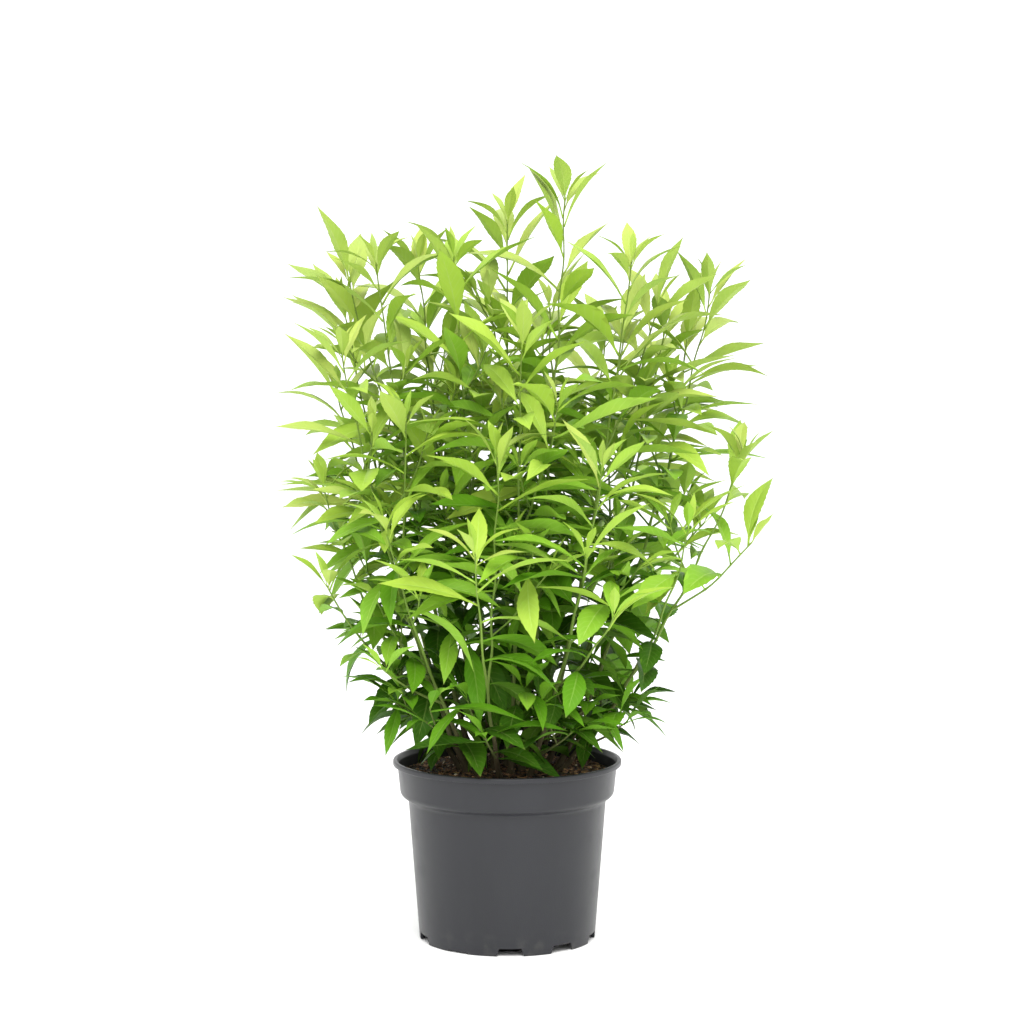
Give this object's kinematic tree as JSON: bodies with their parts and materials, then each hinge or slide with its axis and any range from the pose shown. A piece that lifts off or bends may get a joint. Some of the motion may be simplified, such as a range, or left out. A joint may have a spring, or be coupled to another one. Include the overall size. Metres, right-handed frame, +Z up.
{
  "type": "potted night-blooming jasmine",
  "caption": "Bushy night-blooming jasmine in a round plastic nursery pot: wand-like green stems with narrow lance-shaped leaves, rising from bark compost.",
  "frame": {"origin": "middle of the pot's flat underside, where it stands", "axes": "+Z up through the middle of the pot, -Y towards the front as pictured, +X to the right of that view"},
  "size_m": [0.5059, 0.4644, 0.7787],
  "materials": {
    "pot_plastic": "satin",
    "compost": "matte",
    "bark": "matte",
    "foliage": "satin"
  },
  "bodies": {
    "root": {"foliage_01": "foliage", "foliage_02": "foliage", "foliage_03": "foliage", "foliage_04": "foliage", "foliage_05": "foliage", "foliage_06": "foliage", "foliage_07": "foliage", "foliage_08": "foliage", "foliage_09": "foliage", "foliage_10": "foliage", "foliage_11": "foliage", "foliage_12": "foliage", "foliage_13": "foliage", "foliage_14": "foliage", "foliage_15": "foliage", "foliage_16": "foliage", "foliage_17": "foliage", "foliage_18": "foliage", "foliage_19": "foliage", "pot": "pot_plastic", "soil": "compost", "spray_01": "foliage", "spray_02": "foliage", "spray_03": "foliage", "spray_04": "foliage", "spray_05": "foliage", "spray_06": "foliage", "spray_07": "foliage", "spray_08": "foliage", "spray_09": "foliage", "spray_10": "foliage", "spray_11": "foliage", "spray_12": "foliage", "spray_13": "foliage", "spray_14": "foliage", "spray_15": "foliage", "spray_16": "foliage", "spray_17": "foliage", "spray_18": "foliage", "spray_19": "foliage", "stem_01": "bark", "stem_02": "bark", "stem_03": "bark", "stem_04": "bark", "stem_05": "bark", "stem_06": "bark", "stem_07": "bark", "stem_08": "bark", "stem_09": "bark", "stem_10": "bark", "stem_11": "bark", "stem_12": "bark", "stem_13": "bark", "stem_14": "bark", "stem_15": "bark", "stem_16": "bark", "stem_17": "bark", "stem_18": "bark", "stem_19": "bark"}
  },
  "joints": []
}
